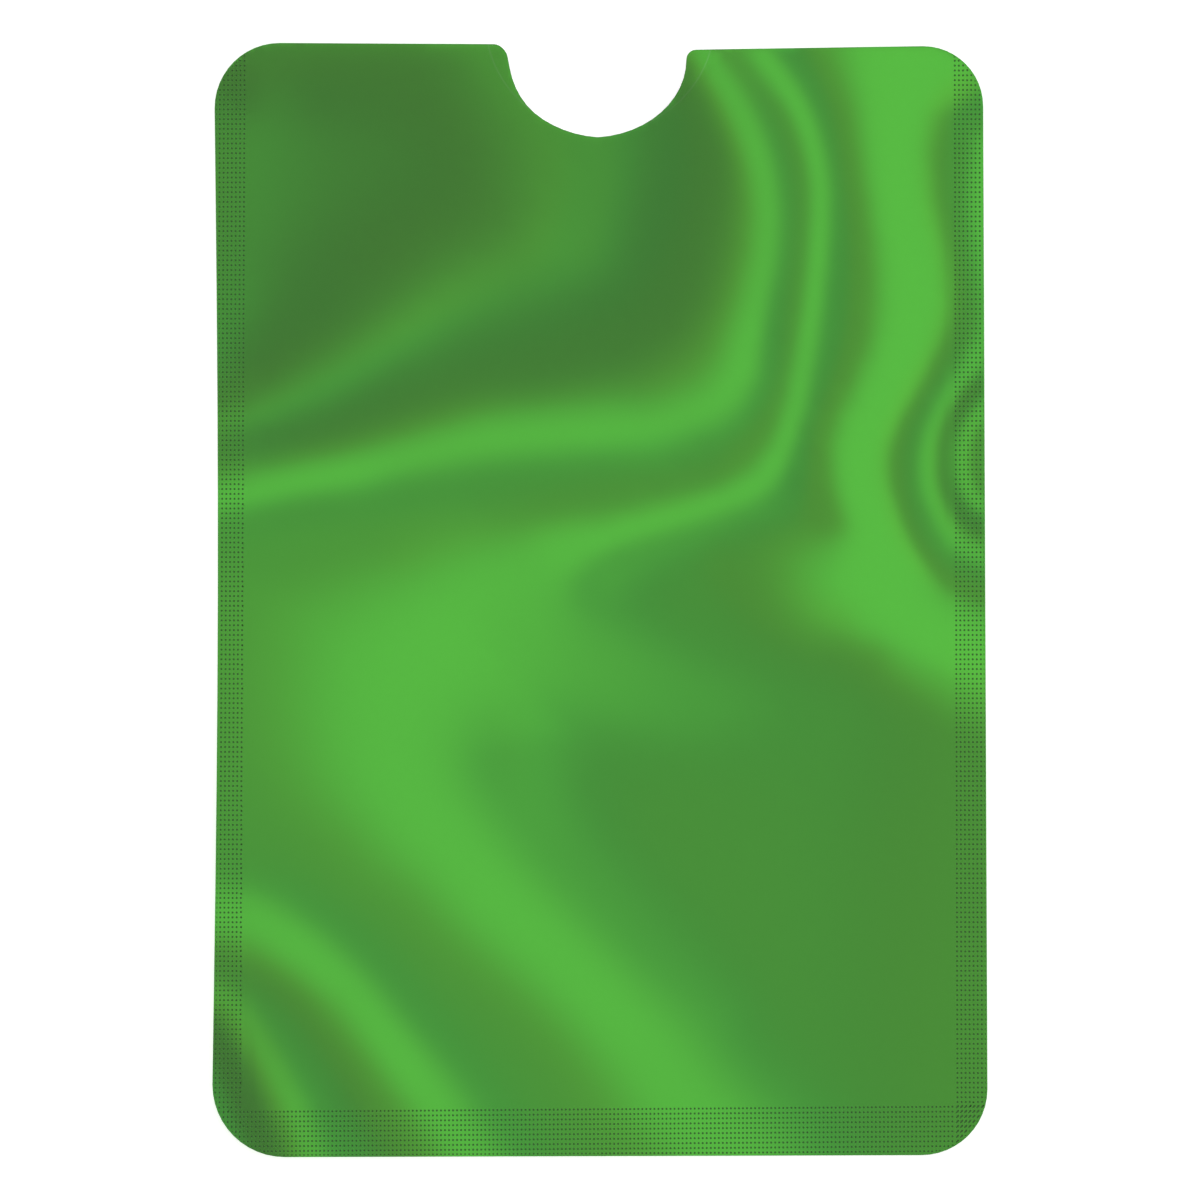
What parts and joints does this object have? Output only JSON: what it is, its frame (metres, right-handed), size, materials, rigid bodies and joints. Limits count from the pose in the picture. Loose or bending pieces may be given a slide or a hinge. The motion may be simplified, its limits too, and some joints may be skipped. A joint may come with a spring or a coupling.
{
  "type": "card sleeve",
  "caption": "Flat foil-laminate sleeve for a bank card, heat sealed on three sides, with rounded corners and a thumb cut in its open mouth.",
  "frame": {"origin": "centre of the sleeve's footprint, on the outer face of the rear panel, which lies on the table", "axes": "+X to the right and +Y towards the open mouth as seen from the front, +Z out of the front panel"},
  "size_m": [0.0632, 0.091, 0.0016],
  "materials": {
    "green_film": "satin",
    "silver_foil": "satin",
    "white_liner": "matte",
    "clear_seal": "gloss"
  },
  "bodies": {
    "root": {"front_colour_film": "green_film", "front_shield_foil": "silver_foil", "front_seal_liner": "white_liner", "left_heat_seal": "clear_seal", "right_heat_seal": "clear_seal", "foot_heat_seal": "clear_seal", "rear_seal_liner": "white_liner", "rear_shield_foil": "silver_foil", "rear_colour_film": "green_film"}
  },
  "joints": []
}
